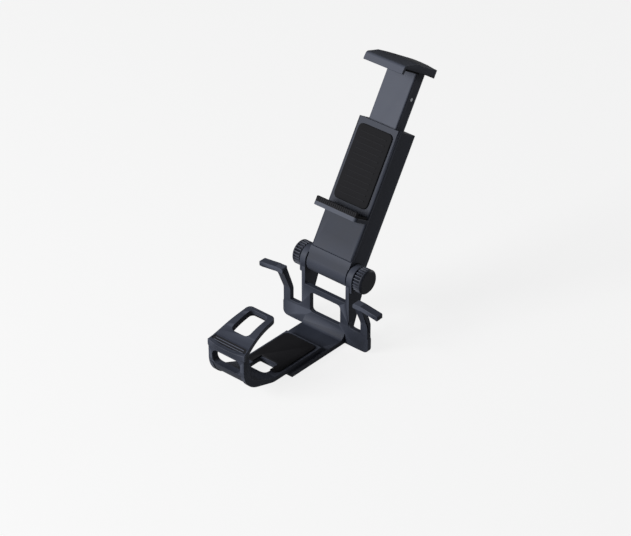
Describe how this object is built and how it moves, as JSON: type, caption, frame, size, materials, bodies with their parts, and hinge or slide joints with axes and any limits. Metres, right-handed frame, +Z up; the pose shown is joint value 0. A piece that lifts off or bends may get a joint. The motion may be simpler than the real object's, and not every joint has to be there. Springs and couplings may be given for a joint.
{
  "type": "controller phone clip",
  "caption": "Bracket that slips over a game pad, with a tilting spring clamp on a knob-tightened hinge that holds a handset above it.",
  "frame": {"origin": "middle of the floor pad's upper face, where the device the bracket is slipped over rests", "axes": "+X to the right and along the hinge, +Y to the back, +Z up out of the bracket floor; rest pose has the clamp leant back 31.5 degrees and the jaws 79.5 mm apart"},
  "size_m": [0.0836, 0.1542, 0.1472],
  "materials": {
    "black_plastic": "satin moulded black plastic",
    "knob_plastic": "fine-grained moulded black plastic",
    "soft_rubber": "matt black silicone rubber",
    "black_screws": "blackened steel",
    "bare_steel": "zinc-plated steel",
    "spring_steel": "bright drawn wire",
    "fibre_washer": "dull nylon"
  },
  "bodies": {
    "bracket": {"front_bracket": "black_plastic", "back_frame": "black_plastic", "bracket_screws": "black_screws", "floor_pad": "soft_rubber", "tongue_pad": "soft_rubber", "right_hook_pad": "soft_rubber", "left_hook_pad": "soft_rubber"},
    "clamp": {"rear_shell": "black_plastic", "front_cover": "black_plastic", "shell_screws": "black_screws", "lower_jaw_pad": "soft_rubber", "back_pad": "soft_rubber", "hinge_bolt": "bare_steel", "right_friction_washer": "fibre_washer", "left_friction_washer": "fibre_washer", "lower_spring_pin": "bare_steel", "right_spring": "spring_steel", "left_spring": "spring_steel"},
    "upper_jaw": {"upper_jaw": "black_plastic", "jaw_stem": "black_plastic", "jaw_screws": "black_screws", "upper_jaw_pad": "soft_rubber", "upper_spring_pin": "bare_steel"},
    "right_knob": {"right_knob": "knob_plastic", "right_knob_nut": "bare_steel", "right_knob_washer": "bare_steel"},
    "left_knob": {"left_knob": "knob_plastic", "left_knob_nut": "bare_steel", "left_knob_washer": "bare_steel"}
  },
  "joints": [
    {"name": "clamp_tilt", "type": "hinge", "parent": "bracket", "child": "clamp", "pos_m": [0, 0.044, 0.033], "axis": [1, 0, 0], "range_deg": [-58, 88]},
    {"name": "jaw_slide", "type": "slide", "parent": "clamp", "child": "upper_jaw", "axis": [0, 0.5225, 0.8526], "range_m": [-0.031, 0.006], "stiffness_N_per_m": 150, "deforming": ["right_spring", "left_spring"]},
    {"name": "right_knob_turn", "type": "hinge", "parent": "clamp", "child": "right_knob", "pos_m": [0.022, 0.044, 0.033], "axis": [1, 0, 0], "continuous": true},
    {"name": "left_knob_turn", "type": "hinge", "parent": "clamp", "child": "left_knob", "pos_m": [-0.022, 0.044, 0.033], "axis": [1, 0, 0], "continuous": true}
  ]
}
